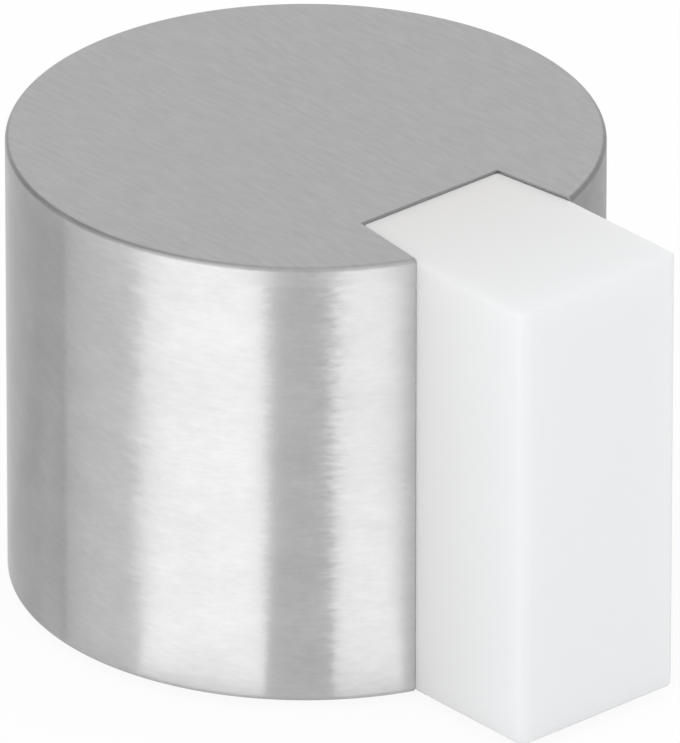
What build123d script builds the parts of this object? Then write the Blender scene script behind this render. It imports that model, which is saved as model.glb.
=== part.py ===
from build123d import *
from math import sqrt
import os

# Adhesive door bumper: a slotted steel cylinder that holds a white rubber buffer, on a round adhesive pad.
# Millimetres. The origin is the centre of the pad's lower face, on the cylinder's axis.
# +Z is up, away from the floor, and +X points from the axis to the face that the door meets.

# steel cylinder
body_diameter = 40.0
body_height = 32.2
rim_radius = 0.35  # softened edge round the top face
foot_radius = 0.5  # softened edge round the underside
slot_radius = 0.15  # all edges where the slot is milled through, down its mouth as well

# rubber buffer, narrowest at the back of the slot and parallel once it is clear of the steel
buffer_back = 12.4  # from the axis to the buffer's back face
buffer_reach = 29.4  # from the axis to the face that the door meets
buffer_back_width = 12.0
buffer_width = 13.6
buffer_short = 0.15  # the buffer stops this far short of the steel's top and underside
buffer_back_radius = 0.3  # upright edges inside the slot
buffer_front_radius = 0.7  # upright edges that the door meets
buffer_top_radius = 0.2
buffer_foot_radius = 0.25

# glue between the buffer and the slot's three walls
bond_gap = 0.05

# double-sided foam pad
pad_thickness = 0.5
pad_inset = 1.5  # from the cylinder's side to the pad's edge

body_radius = body_diameter / 2
pad_radius = body_radius - pad_inset

# the buffer's sides stop widening where they come out through the cylinder's side
mouth_reach = sqrt(body_radius**2 - (buffer_width / 2) ** 2)
side_slope = (buffer_width - buffer_back_width) / 2 / (mouth_reach - buffer_back)
wedge_front_width = buffer_back_width + 2 * side_slope * (buffer_reach - buffer_back)

# plan of the widening wedge that the slot follows, carried on past the cylinder
with BuildSketch() as wedge:
    with BuildLine():
        Polyline(
            (buffer_back, -buffer_back_width / 2),
            (buffer_reach, -wedge_front_width / 2),
            (buffer_reach, wedge_front_width / 2),
            (buffer_back, buffer_back_width / 2),
            close=True,
        )
    make_face()

# plan of the slot: the wedge with room for the glue all round
with BuildSketch() as slot:
    add(wedge.sketch)
    offset(amount=bond_gap, kind=Kind.INTERSECTION)

# plan of the buffer: the wedge inside the steel, held to the buffer's own width outside it
with BuildSketch() as buffer_plan:
    add(wedge.sketch)
    with Locations(((buffer_back + buffer_reach) / 2, 0)):
        Rectangle(buffer_reach - buffer_back, buffer_width, mode=Mode.INTERSECT)

# steel body, slotted from top to bottom
with BuildPart() as steel_body:
    with BuildSketch(Plane.XY.offset(pad_thickness)):
        Circle(body_radius)
        add(slot.sketch, mode=Mode.SUBTRACT)
    extrude(amount=body_height)
    fillet(steel_body.faces().sort_by(Axis.Z)[-1].edges().filter_by(GeomType.CIRCLE), rim_radius)
    fillet(steel_body.faces().sort_by(Axis.Z)[0].edges().filter_by(GeomType.CIRCLE), foot_radius)
    levels = steel_body.faces().filter_by(Axis.Z)
    fillet(levels.edges().filter_by(GeomType.LINE), slot_radius)

# rubber buffer, just short of flush with the steel above and below
with BuildPart() as buffer_block:
    with BuildSketch(Plane.XY.offset(pad_thickness + buffer_short)):
        add(buffer_plan.sketch)
    extrude(amount=body_height - 2 * buffer_short)
    upright_rows = buffer_block.edges().filter_by(Axis.Z).group_by(Axis.X)
    fillet(upright_rows[0], buffer_back_radius)
    fillet(upright_rows[-1], buffer_front_radius)
    fillet(buffer_block.faces().sort_by(Axis.Z)[-1].edges(), buffer_top_radius)
    fillet(buffer_block.faces().sort_by(Axis.Z)[0].edges(), buffer_foot_radius)

# adhesive pad under the steel
with BuildPart() as adhesive_pad:
    with BuildSketch():
        Circle(pad_radius)
    extrude(amount=pad_thickness)

steel_body.part.label = "steel_body"
buffer_block.part.label = "buffer_block"
adhesive_pad.part.label = "adhesive_pad"

os.makedirs("parts", exist_ok=True)
export_step(steel_body.part, "parts/steel_body.step")
export_step(buffer_block.part, "parts/buffer_block.step")
export_step(adhesive_pad.part, "parts/adhesive_pad.step")
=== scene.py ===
from math import atan, atan2, cos, radians, sin, sqrt, tan

import bmesh
import bpy
from mathutils import Matrix, Vector


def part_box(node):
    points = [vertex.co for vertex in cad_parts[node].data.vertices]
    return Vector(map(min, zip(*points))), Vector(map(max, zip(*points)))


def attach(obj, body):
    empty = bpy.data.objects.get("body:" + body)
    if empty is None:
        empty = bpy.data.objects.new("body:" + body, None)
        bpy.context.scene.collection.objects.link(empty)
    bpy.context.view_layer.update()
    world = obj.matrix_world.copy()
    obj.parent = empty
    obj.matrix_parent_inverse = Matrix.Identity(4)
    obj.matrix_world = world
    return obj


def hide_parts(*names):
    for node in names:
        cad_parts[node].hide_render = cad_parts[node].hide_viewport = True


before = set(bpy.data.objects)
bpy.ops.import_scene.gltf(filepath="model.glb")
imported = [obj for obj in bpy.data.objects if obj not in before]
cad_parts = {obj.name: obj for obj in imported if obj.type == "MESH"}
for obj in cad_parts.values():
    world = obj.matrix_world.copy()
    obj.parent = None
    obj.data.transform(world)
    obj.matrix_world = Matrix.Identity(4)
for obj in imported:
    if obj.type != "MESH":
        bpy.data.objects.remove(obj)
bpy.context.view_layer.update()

# adhesive door bumper: brushed steel cylinder, white rubber buffer in its slot, foam pad underneath
# metres throughout; materials work in millimetres
mm = 0.001
sameSpot = 1e-6  # points nearer than this are one
white = (1, 1, 1, 1)
scene = bpy.context.scene
scene.view_settings.view_transform = "Standard"

steelLow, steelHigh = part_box("steel_body")
bufferLow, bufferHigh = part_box("buffer_block")
padLow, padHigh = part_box("adhesive_pad")
bodyRadius = min(-steelLow.x, steelHigh.y)
bodyTop = steelHigh.z
bodyFoot = steelLow.z
print("frame loaded:", sorted(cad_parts))


# one socket of a node tree; sums on it add Math nodes
class Wire:
    def __init__(self, tree, socket=None):
        self.tree = tree
        self.socket = socket

    def node(self, kind, settings=None, sockets=None, output=0):
        made = self.tree.nodes.new("ShaderNode" + kind)
        for key, value in (settings or {}).items():
            setattr(made, key, value)
        for key, value in (sockets or {}).items():
            if isinstance(value, Wire):
                self.tree.links.new(value.socket, made.inputs[key])
            else:
                made.inputs[key].default_value = value
        return Wire(self.tree, made.outputs[output])

    def sum(self, operation, first, second):
        return self.node("Math", {"operation": operation}, {0: first, 1: second})

    def __add__(self, other):
        return self.sum("ADD", self, other)

    def __radd__(self, other):
        return self.sum("ADD", other, self)

    def __sub__(self, other):
        return self.sum("SUBTRACT", self, other)

    def __rsub__(self, other):
        return self.sum("SUBTRACT", other, self)

    def __mul__(self, other):
        return self.sum("MULTIPLY", self, other)

    def __rmul__(self, other):
        return self.sum("MULTIPLY", other, self)

    # 0 below low, 1 above high, eased in between
    def step(self, low, high):
        settings = {"interpolation_type": "SMOOTHSTEP"}
        return self.node("MapRange", settings, {"Value": self, "From Min": low, "From Max": high})

    # vector sums
    def vector(self, operation, *others, output=0):
        sockets = {place: value for place, value in enumerate((self, *others))}
        return self.node("VectorMath", {"operation": operation}, sockets, output)

    def scaled(self, factor):
        return self.node("VectorMath", {"operation": "SCALE"}, {0: self, "Scale": factor})

    # noise of about one bump per unit, with the surface stretched by the given scale along x, y and z
    def noise(self, scale, detail=2.0, rough=0.5):
        place = self.node("Mapping", {}, {"Vector": self, "Scale": scale})
        sockets = {"Vector": place, "Scale": 1.0, "Detail": detail, "Roughness": rough}
        return self.node("TexNoise", {}, sockets)

    def blend(self, first, second):
        settings = {"data_type": "RGBA"}
        return self.node("Mix", settings, {"Factor": self, 6: first, 7: second}, output=2)

    # a colour darkened or lightened by a value
    def tint(self, colour, shade):
        settings = {"data_type": "RGBA", "blend_type": "MULTIPLY"}
        return self.node("Mix", settings, {"Factor": 1.0, 6: colour, 7: shade}, output=2)

    def separate(self):
        made = self.node("SeparateXYZ", {}, {"Vector": self}).socket.node
        return [Wire(self.tree, out) for out in made.outputs]


# an empty material, the wire that its nodes grow from, and its Object coordinates in millimetres
def newMaterial(name):
    material = bpy.data.materials.new(name)
    material.use_nodes = True
    material.node_tree.nodes.clear()
    start = Wire(material.node_tree)
    place = start.node("TexCoord", {}, {}, output=3).scaled(1 / mm)
    return material, start, place


def finishMaterial(start, shader):
    output = start.tree.nodes.new("ShaderNodeOutputMaterial")
    start.tree.links.new(shader.socket, output.inputs["Surface"])


def grey(level, warmth=0.0):
    return (level * (1 + warmth), level, level * (1 - warmth), 1)


# brushed stainless steel
steel = {
    # the side's steel is set lighter than the top's: painted light on the side
    "sideShade": 0.505,
    "faceShade": 0.425,
    "streakShade": 0.2,  # how far a streak may lighten or darken the side
    "grainShade": 0.3,  # and the grain the top
    "sideRoughness": 0.38,
    "sideScatter": 0.08,  # how far the roughness varies
    "sideAnisotropy": 1.0,
    "brushing": 0.25,  # turns the gloss so that the brushing runs round the side
    "bandHeight": 1.35,  # the band below the rim, brushed less evenly, in mm
    "bandBlur": 0.08,
    "bandRoughness": 0.44,
    "bandScatter": 0.1,
    "bandAnisotropy": 0.92,
    "faceRoughness": 0.38,
    "faceScatter": 0.1,
    # noise round the side, per mm along x, y and z
    "streak": (0.8, 0.8, 3.0),
    "fineStreak": (1.5, 1.5, 10.0),
    "cloud": (0.2, 0.2, 0.35),
    # straight grain on the top
    "grain": (0.5, 2.8, 0.3),
    "hair": (0.8, 8.0, 0.3),
    "hairShare": 0.4,  # of the hair lines in the top's shade
    "grainDepth": 0.02 * mm,
    "grainBump": 0.2,
    "jitter": 0.07,  # how far a streak turns the side's normal along the brushing
    "fineJitter": 0.042,
    "edgePaintedShade": 0.98,  # painted shade darkens the softened rim; it is also rougher than the faces
    "edgeRoughness": 0.1,
    # painted shade on the foot's rounding, where it turns under towards the floor
    "footPaintedShade": 0.9,
    "rim": 0.35 * mm,
    "foot": 0.5 * mm,
    "rimSegments": 7,
    "slotEdge": 0.05 * mm,
    "slotSegments": 4,
    "glueGap": 0.005 * mm,  # what the glue leaves open between the slot's walls and the rubber
    "halfTurnSteps": 190,  # along half the side
}


def steelMaterial():
    material, start, place = newMaterial("brushedStainless")
    normal = start.node("NewGeometry", {}, {}, output=1)
    _, _, up = normal.separate()
    _, _, height = place.separate()

    # where the surface lies level, turns over the rim, takes painted shade on the rim's crest, or turns
    # under the foot, which takes painted shade too
    level = (up * up).step(0.3, 0.72)
    rim = up.step(0.05, 0.3) * (1 - up.step(0.9, 0.998))
    rimShadeMask = up.step(0.4, 0.7) * (1 - up.step(0.94, 0.999))
    foot = (up * -1).step(0.1, 0.5)
    # painted shade: colour darkened on the rim's crest and under the foot
    edge = 1 - rimShadeMask * (1 - steel["edgePaintedShade"]) - foot * (1 - steel["footPaintedShade"])
    rougher = rim * steel["edgeRoughness"]
    bandFoot = bodyTop / mm - steel["bandHeight"]
    band = height.step(bandFoot - steel["bandBlur"], bandFoot + steel["bandBlur"])

    # the side, where each streak also turns the normal a little
    streak = place.noise(steel["streak"], 3.0, 0.6)
    fine = place.noise(steel["fineStreak"], 2.0, 0.6)
    cloud = place.noise(steel["cloud"], 3.0, 0.6)
    along = start.node("VectorMath", {"operation": "CROSS_PRODUCT"}, {0: (0, 0, 1), 1: normal})
    turned = along.scaled((streak - 0.5) * steel["jitter"] + (fine - 0.5) * steel["fineJitter"])
    sideNormal = normal.vector("ADD", turned).vector("NORMALIZE")
    sideShade = 1 + (streak + fine + cloud - 1.5) * steel["streakShade"]
    sideColour = start.tint(grey(steel["sideShade"]), sideShade * edge)

    def brushed(roughness, scatter, anisotropy):
        return start.node("BsdfPrincipled", {}, {
            "Base Color": sideColour,
            "Metallic": 1.0,
            "Roughness": roughness + (fine - 0.5) * scatter + rougher,
            "Anisotropic": anisotropy,
            "Anisotropic Rotation": steel["brushing"],
            "Normal": sideNormal,
        })

    lower = brushed(steel["sideRoughness"], steel["sideScatter"], steel["sideAnisotropy"])
    upper = brushed(steel["bandRoughness"], steel["bandScatter"], steel["bandAnisotropy"])
    side = start.node("MixShader", {}, {"Fac": band, 1: lower, 2: upper})

    # the top and the underside
    grain = place.noise(steel["grain"], 3.0, 0.6)
    hair = place.noise(steel["hair"], 2.0, 0.6)
    middle = (1 + steel["hairShare"]) / 2
    faceShade = 1 + (grain + hair * steel["hairShare"] - middle) * steel["grainShade"]
    faceBump = start.node("Bump", {}, {
        "Strength": steel["grainBump"],
        "Distance": steel["grainDepth"],
        "Height": grain + hair,
    })
    face = start.node("BsdfPrincipled", {}, {
        "Base Color": start.tint(grey(steel["faceShade"]), faceShade * edge),
        "Metallic": 1.0,
        "Roughness": steel["faceRoughness"] + (hair - 0.5) * steel["faceScatter"] + rougher,
        "Normal": faceBump,
    })
    finishMaterial(start, start.node("MixShader", {}, {"Fac": level, 1: side, 2: face}))
    return material


# moulded white rubber
rubber = {
    "backPaintedShade": 0.72,  # painted shade: it darkens and warms towards the back of the slot
    "backWarmth": 0.012,
    "frontShade": 0.84,
    "frontWarmth": -0.012,
    "edgePaintedShade": 0.94,  # painted shade on the rounded edges
    "cloud": (0.12, 0.12, 0.12),  # noise, per mm
    "cloudShare": 0.15,
    "pores": (5.0, 5.0, 5.0),
    "poreDepth": 0.04 * mm,
    "poreBump": 0.3,
    "roughness": 0.55,
    "scatter": 0.2,  # how far the roughness varies
    "gloss": 0.2,
    "depth": 2.5 * mm,  # how far light spreads under the surface
    "depthShare": 0.3,
    "depthTint": (1.0, 0.95, 0.9),
    "backWidth": 12.0 * mm,
    "width": 13.6 * mm,
    "backEdge": 0.3 * mm,
    "frontEdge": 0.7 * mm,
    "topEdge": 0.2 * mm,
    "footEdge": 0.25 * mm,
    "edgeSegments": 5,
    "frontSegments": 8,
}


def rubberMaterial():
    material, start, place = newMaterial("mouldedWhiteRubber")
    cloud = place.noise(rubber["cloud"], 3.0, 0.55)
    pores = place.noise(rubber["pores"], 4.0, 0.6)
    forward, _, _ = place.separate()
    reach = start.node("MapRange", {}, {
        "Value": forward,
        "From Min": bufferLow.x / mm,
        "From Max": bufferHigh.x / mm,
    })
    # painted shade, darker towards the back of the slot where the steel closes round the rubber
    shade = reach + (cloud - 0.5) * rubber["cloudShare"]
    normal = start.node("NewGeometry", {}, {}, output=1)
    square = normal.vector("MULTIPLY", normal)
    edge = 1 - square.vector("DOT_PRODUCT", square, output=1)  # 0 on the flat faces
    back = grey(rubber["backPaintedShade"], rubber["backWarmth"])
    front = grey(rubber["frontShade"], rubber["frontWarmth"])
    # painted shade: darker towards the back of the slot and on the rounded edges
    colour = start.tint(shade.blend(back, front), 1 - edge * (1 - rubber["edgePaintedShade"]))
    bump = start.node("Bump", {}, {
        "Strength": rubber["poreBump"],
        "Distance": rubber["poreDepth"],
        "Height": pores + cloud,
    })
    shader = start.node("BsdfPrincipled", {}, {
        "Base Color": colour,
        "Roughness": rubber["roughness"] + (pores - 0.5) * rubber["scatter"],
        "Subsurface Weight": rubber["depthShare"],
        "Subsurface Radius": rubber["depthTint"],
        "Subsurface Scale": rubber["depth"],
        "Specular IOR Level": rubber["gloss"],
        "Normal": bump,
    })
    finishMaterial(start, shader)
    return material


# grey-white foam with a tacky skin
foam = {
    "shade": 0.72,
    "cellPaintedShade": 0.432,  # painted shade down in the cells of the cut edge
    "cells": 5.0,  # per mm
    "cellShare": 0.3,
    "patch": (0.25, 0.25, 0.25),
    "patchShare": 0.12,
    "skinRoughness": 0.45,
    "cutRoughness": 0.85,
    "scatter": 0.2,  # how far the roughness varies
    "cellDepth": 0.06 * mm,
    "cellBump": 0.5,
    "skin": 0.06 * mm,
    "waist": 0.12 * mm,  # how far the cut foam draws in between its skins
    "turnSteps": 160,
}


def foamMaterial():
    material, start, place = newMaterial("adhesiveFoam")
    normal = start.node("NewGeometry", {}, {}, output=1)
    _, _, up = normal.separate()
    cells = start.node("TexVoronoi", {"feature": "F1"}, {"Vector": place, "Scale": foam["cells"]})
    patch = place.noise(foam["patch"], 3.0, 0.6)
    cut = 1 - (up * up).step(0.3, 0.8)
    # painted shade in the cells of the cut edge, with random patches over the whole pad
    shade = cells.step(0.1, 0.7) * cut * foam["cellShare"] + (patch - 0.5) * foam["patchShare"]
    colour = shade.blend(grey(foam["shade"], 0.012), grey(foam["cellPaintedShade"], 0.02))
    rougher = cut * (foam["cutRoughness"] - foam["skinRoughness"])
    bump = start.node("Bump", {}, {
        "Strength": foam["cellBump"],
        "Distance": foam["cellDepth"],
        "Height": cells + patch,
    })
    shader = start.node("BsdfPrincipled", {}, {
        "Base Color": colour,
        "Roughness": foam["skinRoughness"] + rougher + (patch - 0.5) * foam["scatter"],
        "Normal": bump,
    })
    finishMaterial(start, shader)
    return material


# a finished piece: its mesh, smooth shading and its place on the frame
def makePiece(name, bm, material, node):
    bmesh.ops.recalc_face_normals(bm, faces=bm.faces)
    mesh = bpy.data.meshes.new(name)
    bm.to_mesh(mesh)
    bm.free()
    mesh.materials.append(material)
    mesh.shade_smooth()
    mesh.set_sharp_from_angle(angle=radians(50))
    piece = bpy.data.objects.new(name, mesh)
    scene.collection.objects.link(piece)
    piece.modifiers.new("evenShading", "WEIGHTED_NORMAL").keep_sharp = True
    bpy.context.view_layer.objects.active = piece
    bpy.ops.object.modifier_apply(modifier="evenShading")
    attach(piece, "root")
    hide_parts(node)
    print("piece made:", name, len(piece.data.polygons), "faces")
    return piece


def roundEdges(bm, edges, radius, segments):
    bmesh.ops.bevel(bm, geom=edges, offset=radius, offset_type="OFFSET", affect="EDGES",
                    segments=segments, profile=0.5, material=-1)


def levelEdges(bm, height):
    return [e for e in bm.edges if all(abs(v.co.z - height) < sameSpot for v in e.verts)]


def arcEdges(bm, height):
    nearly = bodyRadius - sameSpot
    return [e for e in levelEdges(bm, height) if all(v.co.xy.length > nearly for v in e.verts)]


def uprightEdges(bm, x):
    return [e for e in bm.edges if all(abs(v.co.x - x) < sameSpot for v in e.verts)
            and (e.verts[0].co.xy - e.verts[1].co.xy).length < sameSpot]


def onlyVerts(geom):
    return [g for g in geom if isinstance(g, bmesh.types.BMVert)]


def raiseFace(bm, face, height):
    raised = bmesh.ops.extrude_face_region(bm, geom=[face])["geom"]
    bmesh.ops.translate(bm, verts=onlyVerts(raised), vec=(0, 0, height))


# where the rubber's sides come out of the steel and stop widening
mouth = sqrt(bodyRadius**2 - (rubber["width"] / 2) ** 2)
sideAngle = atan((rubber["width"] - rubber["backWidth"]) / 2 / (mouth - bufferLow.x))


# half the plan on the -Y side as a chain of edges, mirrored, filled, raised and rounded
def makeSteel(material):
    bm = bmesh.new()
    along = Vector((cos(sideAngle), -sin(sideAngle), 0))
    outward = Vector((-sin(sideAngle), -cos(sideAngle), 0))
    wall = Vector((bufferLow.x, -rubber["backWidth"] / 2, 0)) + outward * steel["glueGap"]
    back = bufferLow.x - steel["glueGap"]
    corner = wall + along * ((back - wall.x) / along.x)
    reach = wall.dot(along)
    opening = wall + along * (sqrt(reach**2 - wall.length_squared + bodyRadius**2) - reach)

    middle = bm.verts.new((back, 0, 0))
    inner = bm.verts.new(corner)
    outer = bm.verts.new(opening)
    bm.edges.new((middle, inner))
    bm.edges.new((inner, outer))
    turn = -radians(180) - atan2(opening.y, opening.x)
    bmesh.ops.spin(bm, geom=[outer], cent=(0, 0, 0), axis=(0, 0, 1), angle=turn,
                   steps=steel["halfTurnSteps"])
    half = bm.verts[:] + bm.edges[:]
    bmesh.ops.mirror(bm, geom=half, matrix=Matrix.Identity(4), axis="Y", merge_dist=sameSpot)
    bmesh.ops.remove_doubles(bm, verts=bm.verts, dist=sameSpot)
    bmesh.ops.translate(bm, verts=bm.verts, vec=(0, 0, bodyFoot))
    plan = bmesh.ops.contextual_create(bm, geom=bm.edges[:])["faces"][0]
    raiseFace(bm, plan, bodyTop - bodyFoot)
    roundEdges(bm, arcEdges(bm, bodyTop), steel["rim"], steel["rimSegments"])
    roundEdges(bm, arcEdges(bm, bodyFoot), steel["foot"], steel["rimSegments"])
    bmesh.ops.recalc_face_normals(bm, faces=bm.faces)
    slotEdges = [e for e in bm.edges if e.calc_face_angle_signed() > radians(45)]
    roundEdges(bm, slotEdges, steel["slotEdge"], steel["slotSegments"])
    makePiece("steelCylinder", bm, material, "steel_body")


def makeBuffer(material):
    bm = bmesh.new()
    outline = [
        (bufferLow.x, -rubber["backWidth"] / 2),
        (mouth, -rubber["width"] / 2),
        (bufferHigh.x, -rubber["width"] / 2),
        (bufferHigh.x, rubber["width"] / 2),
        (mouth, rubber["width"] / 2),
        (bufferLow.x, rubber["backWidth"] / 2),
    ]
    plan = bm.faces.new([bm.verts.new((x, y, bufferLow.z)) for x, y in outline])
    raiseFace(bm, plan, bufferHigh.z - bufferLow.z)
    roundEdges(bm, uprightEdges(bm, bufferLow.x), rubber["backEdge"], rubber["edgeSegments"])
    roundEdges(bm, uprightEdges(bm, bufferHigh.x), rubber["frontEdge"], rubber["frontSegments"])
    roundEdges(bm, levelEdges(bm, bufferHigh.z), rubber["topEdge"], rubber["edgeSegments"])
    roundEdges(bm, levelEdges(bm, bufferLow.z), rubber["footEdge"], rubber["edgeSegments"])
    makePiece("rubberBuffer", bm, material, "buffer_block")


# half a section through the foam and its two skins, spun round
def makePad(material):
    bm = bmesh.new()
    radius = padHigh.x
    thickness = padHigh.z - padLow.z
    skin = foam["skin"]
    profile = [
        (0, 0),
        (radius - skin, 0),
        (radius, skin / 2),
        (radius, skin),
        (radius - foam["waist"], thickness / 3),
        (radius - foam["waist"], thickness * 2 / 3),
        (radius, thickness - skin),
        (radius, thickness - skin / 2),
        (radius - skin, thickness),
        (0, thickness),
    ]
    verts = [bm.verts.new((x, 0, padLow.z + z)) for x, z in profile]
    edges = [bm.edges.new(pair) for pair in zip(verts, verts[1:])]
    bmesh.ops.spin(bm, geom=verts + edges, cent=(0, 0, 0), axis=(0, 0, 1), angle=radians(360),
                   steps=foam["turnSteps"], use_merge=True)
    bmesh.ops.remove_doubles(bm, verts=bm.verts, dist=sameSpot)
    pad = makePiece("foamPad", bm, material, "adhesive_pad")


makeSteel(steelMaterial())
makeBuffer(rubberMaterial())
makePad(foamMaterial())
print("materials and pieces done")

# camera, fitted to the photograph's outline, front rim and slot
view = {
    "turn": -41.263,  # degrees round from +X
    "rise": 27.332,  # of the camera's place, seen from the steel's underside
    "distance": 1564.0 * mm,
    "heading": -0.094,  # how far it looks past the cylinder's axis
    "tilt": 26.858,  # how far it looks down
    "roll": 0.032,
    "lens": 1130.2,  # in mm, as the sensor is
    "sensor": 36,
    "farthest": 10,
}


def compass(turn, rise=0.0):
    return Vector((cos(rise) * cos(turn), cos(rise) * sin(turn), sin(rise)))


def makeCamera():
    data = bpy.data.cameras.new("camera")
    data.lens = view["lens"]
    data.sensor_width = view["sensor"]
    data.sensor_height = view["sensor"]
    data.clip_end = view["farthest"]
    camera = bpy.data.objects.new("camera", data)
    scene.collection.objects.link(camera)
    turn = radians(view["turn"])
    camera.location = Vector((0, 0, bodyFoot)) + compass(turn, radians(view["rise"])) * view["distance"]
    heading = turn + radians(180 + view["heading"])
    aim = compass(heading, -radians(view["tilt"])).to_track_quat("-Z", "Y").to_matrix()
    camera.rotation_euler = (aim @ Matrix.Rotation(radians(view["roll"]), 3, "Z")).to_euler()
    scene.camera = camera


makeCamera()
print("camera placed")

# studio: white surroundings, a pale floor and a soft key light the object evenly; strip lights, cards and
# floor patches that only reflections see give the steel its bright bands, its darker sides and its dark rim
studio = {
    "fill": 0.98,  # what the surroundings give the matt surfaces
    "floorGlow": 0.92,  # the share of plain white in the floor where it is seen directly
    "floorShade": 0.92,
    "floorSize": 4.0,
    "floorDrop": 0.02 * mm,  # so that it doesn't coincide with the pad's lower face
    "key": (-22, 20, 0.5, 0.75),  # degrees round from the camera and up, size, and how bright
    "keyDistance": 0.8,
    "distance": 0.6,  # of the strips and cards, and how far the floor patches reach
    "stripHeight": 0.4,
    # from and to, in degrees round from the camera, and how bright
    "strips": {
        "leftStrip": (-64.5, -14.9, 0.55),
        "rightStrip": (10.8, 37.4, 0.5),
        "leftSoft": (-85, -64.5, 0.75),
        "leftFaint": (-102, -85, 0.25),
        "rightSoft": (37.4, 75, 0.12),
    },
    # the same, then from which height to which
    "cards": {
        "leftCard": (-142, -103, 0.2, 0.0, 1.0),
        "rightCard": (76, 156, 0.5, 0.0, 1.0),
        "leftHood": (-112, -40, 0.3, 0.45, 1.6),
        "leftBrow": (-100, -66, 0.3, 0.1, 0.46),
    },
    # upright cards that hide the floor patches from the edge seen from behind: degrees, and how bright
    "flags": {
        "leftFlag": (-58, 0.75),
    },
    "flagReach": 45 * mm,
    "flagHeight": 50 * mm,
    # floor patches: from and to beside the object, from and to far out, and how bright
    "aprons": {
        "leftApron": (-112, -98, -112, -98, 0.9),
        "rightApron": (76, 156, 76, 156, 0.75),
        "leftSheen": (-55, -36.5, -98, -64.5, 1.32),
        "leftGlow": (-36.5, -8.5, -64.5, -14.9, 2.4),
        "rightGlow": (5.9, 20.6, 10.8, 37.4, 2.15),
    },
    "apronStart": 0.022,  # from the cylinder's axis
    "apronLift": 0.2 * mm,
    "arcSteps": 32,
}


# 1 where the camera, a reflection or clear material looks straight at it
def seenDirectly(start):
    path = start.node("LightPath").socket.node
    seen = Wire(start.tree, path.outputs["Is Camera Ray"])
    glossy = Wire(start.tree, path.outputs["Is Glossy Ray"])
    through = Wire(start.tree, path.outputs["Is Transmission Ray"])
    return start.node("Clamp", {}, {"Value": seen + glossy + through})


def makeWorld():
    world = bpy.data.worlds.new("surroundings")
    world.use_nodes = True
    world.node_tree.nodes.clear()
    start = Wire(world.node_tree)
    strength = studio["fill"] + seenDirectly(start) * (1 - studio["fill"])
    light = start.node("Background", {}, {"Color": white, "Strength": strength})
    output = world.node_tree.nodes.new("ShaderNodeOutputWorld")
    world.node_tree.links.new(light.socket, output.inputs["Surface"])
    scene.world = world


# a surface of the studio, which isn't part of the object
def makeStage(name, bm, material):
    mesh = bpy.data.meshes.new(name)
    bm.to_mesh(mesh)
    bm.free()
    mesh.materials.append(material)
    surface = bpy.data.objects.new(name, mesh)
    scene.collection.objects.link(surface)
    return surface


def floorMaterial():
    material, start, _ = newMaterial("paleFloor")
    paint = start.node("BsdfDiffuse", {}, {"Color": grey(studio["floorShade"])})
    glow = start.node("Emission", {}, {"Color": white, "Strength": 1.0})
    share = seenDirectly(start) * studio["floorGlow"]
    finishMaterial(start, start.node("MixShader", {}, {"Fac": share, 1: paint, 2: glow}))
    return material


def makeFloor():
    bm = bmesh.new()
    bmesh.ops.create_grid(bm, x_segments=1, y_segments=1, size=studio["floorSize"])
    bmesh.ops.translate(bm, verts=bm.verts, vec=(0, 0, -studio["floorDrop"]))
    makeStage("floor", bm, floorMaterial())


# a soft rectangle of light that looks along a direction to the object
def makeLamp(name, place, direction, width, height, radiance):
    data = bpy.data.lights.new(name, "AREA")
    data.shape = "RECTANGLE"
    data.size = width
    data.size_y = height
    data.energy = 4 * width * height * radiance  # a lamp of any size then looks as bright as this
    lamp = bpy.data.objects.new(name, data)
    scene.collection.objects.link(lamp)
    lamp.location = place
    lamp.rotation_euler = direction.to_track_quat("Z", "Y").to_euler()
    lamp.visible_camera = False
    return lamp


def makeStrip(name, fromTurn, toTurn, radiance):
    direction = compass(radians(view["turn"] + (fromTurn + toTurn) / 2))
    width = 2 * studio["distance"] * tan(radians((toTurn - fromTurn) / 2))
    height = studio["stripHeight"]
    place = direction * studio["distance"] + Vector((0, 0, height / 2))
    lamp = makeLamp(name, place, direction, width, height, radiance)
    lamp.visible_diffuse = False


def makeKey(turn, rise, size, radiance):
    direction = compass(radians(view["turn"] + turn), radians(rise))
    lamp = makeLamp("key", direction * studio["keyDistance"], direction, size, size, radiance)
    lamp.visible_glossy = False


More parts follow.
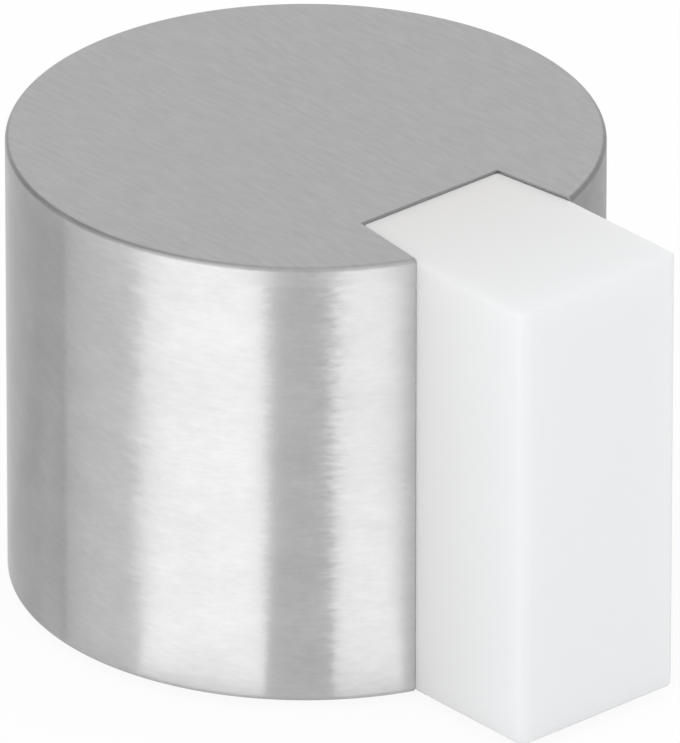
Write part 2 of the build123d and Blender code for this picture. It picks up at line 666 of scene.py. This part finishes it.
# a card or patch that only reflections see
def finishCard(name, bm, shade):
    material, start, _ = newMaterial(name)
    finishMaterial(start, start.node("Emission", {}, {"Color": white, "Strength": shade}))
    card = makeStage(name, bm, material)
    card.visible_camera = False
    card.visible_diffuse = False
    card.visible_transmission = False
    card.visible_shadow = False


def drawArc(bm, radius, fromTurn, toTurn):
    first = bm.verts.new(compass(radians(view["turn"] + fromTurn)) * radius)
    bmesh.ops.spin(bm, geom=[first], cent=(0, 0, 0), axis=(0, 0, 1), angle=radians(toTurn - fromTurn),
                   steps=studio["arcSteps"])


# a curved card that stands round the object
def makeCard(name, fromTurn, toTurn, shade, low, high):
    bm = bmesh.new()
    drawArc(bm, studio["distance"], fromTurn, toTurn)
    drawn = bmesh.ops.extrude_edge_only(bm, edges=bm.edges[:])["geom"]
    bmesh.ops.translate(bm, verts=onlyVerts(drawn), vec=(0, 0, high - low))
    bmesh.ops.translate(bm, verts=bm.verts, vec=(0, 0, low))
    finishCard(name, bm, shade)


# an upright card beside the steel, edge on to what the camera sees reflected there
def makeFlag(name, turn, shade):
    bm = bmesh.new()
    near = compass(radians(view["turn"] + turn)) * studio["apronStart"]
    far = near + compass(radians(view["turn"] + 2 * turn)) * studio["flagReach"]
    bm.edges.new((bm.verts.new(near), bm.verts.new(far)))
    drawn = bmesh.ops.extrude_edge_only(bm, edges=bm.edges[:])["geom"]
    bmesh.ops.translate(bm, verts=onlyVerts(drawn), vec=(0, 0, studio["flagHeight"]))
    finishCard(name, bm, shade)


# a patch that lies just above the floor and fans out from the object
def makeApron(name, nearFrom, nearTo, farFrom, farTo, shade):
    bm = bmesh.new()
    drawArc(bm, studio["apronStart"], nearFrom, nearTo)
    drawArc(bm, studio["distance"], farFrom, farTo)
    bmesh.ops.bridge_loops(bm, edges=bm.edges[:])
    bmesh.ops.translate(bm, verts=bm.verts, vec=(0, 0, studio["apronLift"]))
    finishCard(name, bm, shade)


makeWorld()
makeFloor()
for name, strip in studio["strips"].items():
    makeStrip(name, *strip)
for name, card in studio["cards"].items():
    makeCard(name, *card)
for name, flag in studio["flags"].items():
    makeFlag(name, *flag)
for name, apron in studio["aprons"].items():
    makeApron(name, *apron)
makeKey(*studio["key"])
print("studio done")
